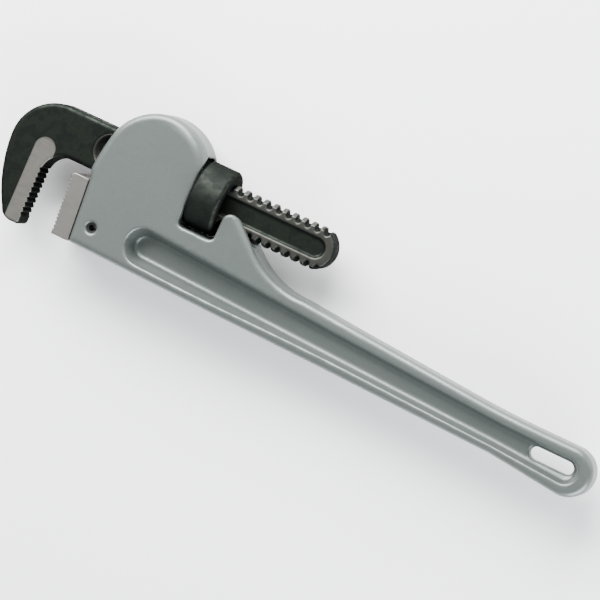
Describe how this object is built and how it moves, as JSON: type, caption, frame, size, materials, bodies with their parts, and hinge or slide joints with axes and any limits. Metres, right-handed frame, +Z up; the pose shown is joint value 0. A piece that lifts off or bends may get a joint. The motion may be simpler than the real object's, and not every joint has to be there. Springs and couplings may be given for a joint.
{
  "type": "pipe wrench",
  "caption": "Straight pipe wrench with a light cast handle, a sliding hook jaw driven by a round adjusting nut, and a pinned toothed heel jaw.",
  "frame": {"origin": "bottom centre of the box around the whole wrench as it lies on its side, jaws 20 mm open", "axes": "+X along the threaded shank toward the handle's end, +Y toward the round back of the housing, +Z up through the thickness"},
  "size_m": [0.4025, 0.105, 0.0412],
  "materials": {
    "cast_aluminium": "satin silver-grey enamel over fine cast grain",
    "blackened_forging": "black oxide on forged steel, milled bare on the tooth strip and thread crests",
    "blackened_nut": "black oxide on turned steel, fine straight knurl",
    "bare_steel": "ground tool steel",
    "pin_steel": "rolled spring steel, darkened",
    "spring_steel": "blued spring steel"
  },
  "bodies": {
    "handle_body": {"handle": "cast_aluminium", "heel_jaw": "bare_steel", "heel_jaw_pin": "pin_steel", "flat_spring": "spring_steel", "flat_spring_rivet": "pin_steel"},
    "spring_seat": {"coil_spring": "spring_steel"},
    "hook": {"hook_jaw": "blackened_forging"},
    "nut": {"adjusting_nut": "blackened_nut"}
  },
  "joints": [
    {"name": "jaw_rock", "type": "hinge", "parent": "handle_body", "child": "spring_seat", "pos_m": [-0.07285, 0.01755, 0.0206], "axis": [0, 0, 1], "range_deg": [-1.3, 1.3], "stiffness_Nm_per_rad": 20, "deforming": ["coil_spring", "flat_spring"]},
    {"name": "jaw_travel", "type": "slide", "parent": "spring_seat", "child": "hook", "axis": [-1, 0, 0], "range_m": [-0.015, 0.052]},
    {"name": "nut_spin", "type": "hinge", "parent": "spring_seat", "child": "nut", "pos_m": [-0.07285, 0.01755, 0.0206], "axis": [1, 0, 0], "range_deg": [-853, 2950]}
  ],
  "couplings": [
    {"joint": "nut_spin", "follows": "jaw_travel", "rad_per_m": 989.48}
  ]
}
